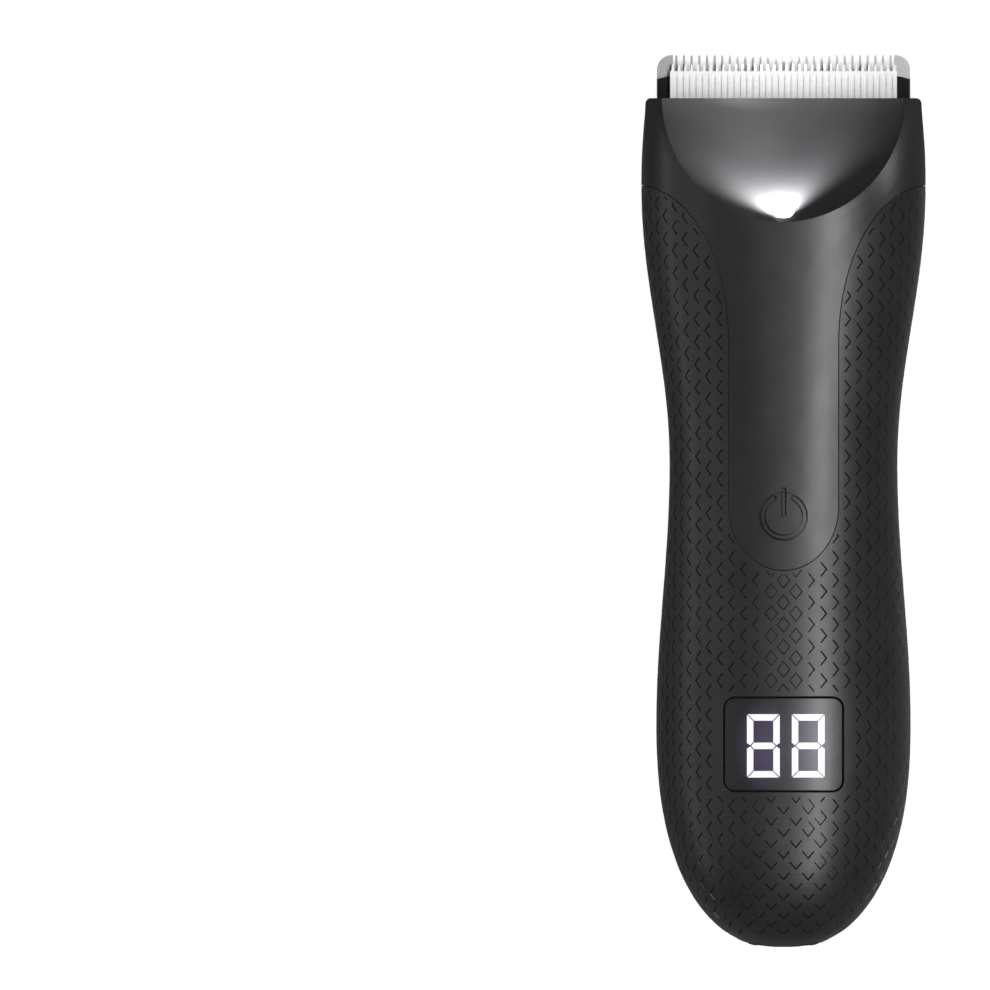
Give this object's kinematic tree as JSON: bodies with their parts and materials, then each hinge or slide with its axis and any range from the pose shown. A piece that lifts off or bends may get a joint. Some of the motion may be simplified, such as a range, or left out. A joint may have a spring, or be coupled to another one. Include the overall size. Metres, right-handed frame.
{
  "type": "body groomer",
  "caption": "Cordless body groomer with a waisted textured grip, a wide head with ceramic cutter, a lamp in a scooped light shield and a charge display.",
  "frame": {"origin": "middle of the footprint, on the surface that the groomer's back lies on", "axes": "+Y along the body towards the blade, +Z out of the front face with the button and display, +X to the right of someone facing that front with the blade up"},
  "size_m": [0.0494, 0.155, 0.0375],
  "materials": {
    "panel_black": "soft-touch satin",
    "shell_plastic": "moulded satin",
    "rear_black": "soft-touch satin",
    "grip_rubber": "textured soft rubber",
    "seal_rubber": "smooth",
    "screw_steel": "zinc plated",
    "button_black": "satin",
    "switch_case": "moulded",
    "plunger_plastic": "moulded",
    "smoked_window": "glossy smoked",
    "module_black": "moulded",
    "digit_light": "lit white",
    "lamp_clear": "clear, lit",
    "diode_white": "lit white",
    "board_green": "solder mask",
    "board_chips": "moulded",
    "chassis_plastic": "moulded",
    "cell_wrap": "shrink sleeve",
    "nickel": "plated",
    "brass_tab": "bare",
    "motor_steel": "plated",
    "bell_plastic": "moulded",
    "magnet_dark": "sintered",
    "armature_iron": "laminated",
    "shaft_steel": "ground",
    "acetal_white": "moulded",
    "blade_steel": "ground",
    "base_black": "moulded",
    "cutter_ceramic": "sintered white",
    "slider_plastic": "moulded",
    "spring_steel": "sheet",
    "socket_black": "moulded"
  },
  "bodies": {
    "housing": {"front_panel": "panel_black", "front_shell": "shell_plastic", "rear_shell": "rear_black", "front_grip": "grip_rubber", "rear_grip": "grip_rubber", "housing_seal": "seal_rubber", "housing_screws": "screw_steel", "button_seal": "seal_rubber", "tact_switch": "switch_case", "display_window": "smoked_window", "display_module": "module_black", "display_digits": "digit_light", "lamp_lens": "lamp_clear", "lamp_board": "board_green", "lamp_diode": "diode_white", "chassis": "chassis_plastic", "main_board": "board_green", "board_parts": "board_chips", "battery_cell": "cell_wrap", "cell_tabs": "nickel", "motor_can": "motor_steel", "motor_end_bell": "bell_plastic", "motor_terminals": "brass_tab", "motor_magnets": "magnet_dark", "motor_screws": "screw_steel", "shaft_seal": "seal_rubber", "fixed_blade": "blade_steel", "blade_screws": "screw_steel", "blade_base": "base_black", "tension_spring": "spring_steel", "charging_socket": "socket_black", "charging_pins": "nickel", "socket_seal": "seal_rubber"},
    "cutter": {"ceramic_cutter": "cutter_ceramic", "cutter_slider": "slider_plastic"},
    "rotor": {"motor_shaft": "shaft_steel", "motor_armature": "armature_iron", "eccentric": "acetal_white"},
    "button": {"power_button": "button_black"},
    "plunger": {"switch_plunger": "plunger_plastic"}
  },
  "joints": [
    {"name": "cutter_slide", "type": "slide", "parent": "housing", "child": "cutter", "axis": [1, 0, 0], "range_m": [-0.0012, 0.0012]},
    {"name": "rotor_spin", "type": "hinge", "parent": "housing", "child": "rotor", "pos_m": [0, 0.0425, 0.0145], "axis": [0, 1, 0], "continuous": true},
    {"name": "button_press", "type": "slide", "parent": "housing", "child": "button", "axis": [0, 0, -1], "range_m": [0, 0.0005], "stiffness_N_per_m": 1500, "springref_m": -0.0004},
    {"name": "plunger_press", "type": "slide", "parent": "housing", "child": "plunger", "axis": [0, 0, -1], "range_m": [0, 0.0005]}
  ],
  "couplings": [
    {"joint": "plunger_press", "follows": "button_press", "ratio": 1}
  ]
}
